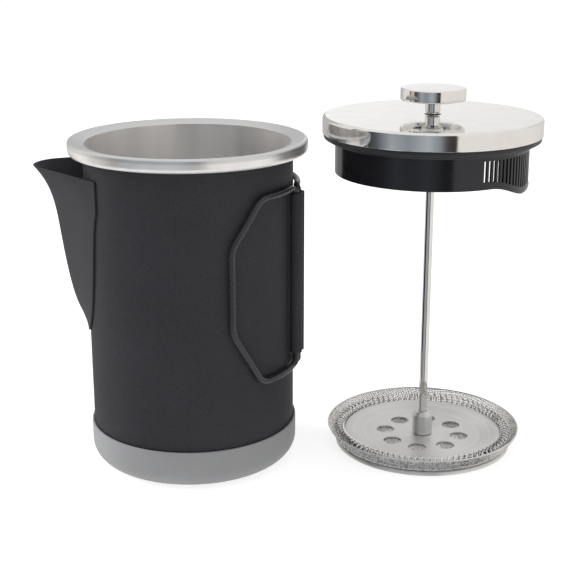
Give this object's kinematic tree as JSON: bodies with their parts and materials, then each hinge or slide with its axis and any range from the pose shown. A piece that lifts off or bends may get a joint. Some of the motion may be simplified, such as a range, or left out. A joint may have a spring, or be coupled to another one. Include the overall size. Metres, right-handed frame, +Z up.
{
  "type": "french press",
  "caption": "Camping French press: black sheet-steel pot with spout, folding wire handles and silicone boot, and a plunger with lid and mesh filter standing beside it.",
  "frame": {"origin": "centre of the boot's underside, on the surface that the pot stands on", "axes": "+X from the spout towards the handle bracket, +Z up"},
  "size_m": [0.2441, 0.1461, 0.1825],
  "materials": {
    "powder_coat": "fine speckled charcoal powder coat, matt",
    "brushed_steel": "brushed stainless steel, satin",
    "polished_steel": "mirror-polished stainless steel",
    "silicone": "grey silicone, matt",
    "black_plastic": "glossy moulded black plastic",
    "black_gasket": "satin black moulded plastic"
  },
  "bodies": {
    "pot": {"pot_body": "powder_coat", "base_boot": "silicone", "spout": "powder_coat", "handle_bracket": "powder_coat"},
    "front_handle": {"front_handle": "powder_coat"},
    "back_handle": {"back_handle": "powder_coat"},
    "plunger": {"knob": "polished_steel", "knob_neck": "polished_steel", "rod": "polished_steel", "hub_nut": "brushed_steel", "spiral_plate": "brushed_steel", "coil_spring": "polished_steel", "mesh_screen": "brushed_steel", "cross_plate": "brushed_steel", "clamp_screw": "brushed_steel"},
    "lid_guide": {"guide_bush": "black_plastic", "bush_washer": "brushed_steel"},
    "lid": {"lid_cap": "polished_steel", "flange_ring": "black_gasket", "strainer_skirt": "black_plastic"}
  },
  "joints": [
    {"name": "front_handle_fold", "type": "hinge", "parent": "pot", "child": "front_handle", "pos_m": [0.0532, -0.0021, 0.0955], "axis": [0, 0, 1], "range_deg": [0, 98]},
    {"name": "back_handle_fold", "type": "hinge", "parent": "pot", "child": "back_handle", "pos_m": [0.0532, 0.0021, 0.0955], "axis": [0, 0, -1], "range_deg": [0, 98]},
    {"name": "plunger_lift", "type": "slide", "parent": "pot", "child": "plunger", "axis": [0, 0, 1], "range_m": [0, 0.165]},
    {"name": "lid_slide", "type": "slide", "parent": "plunger", "child": "lid_guide", "axis": [0, 0, 1], "range_m": [-0.122, 0]},
    {"name": "lid_turn", "type": "hinge", "parent": "lid_guide", "child": "lid", "pos_m": [0.1118, 0.036, 0.161], "axis": [0, 0, 1], "continuous": true}
  ]
}
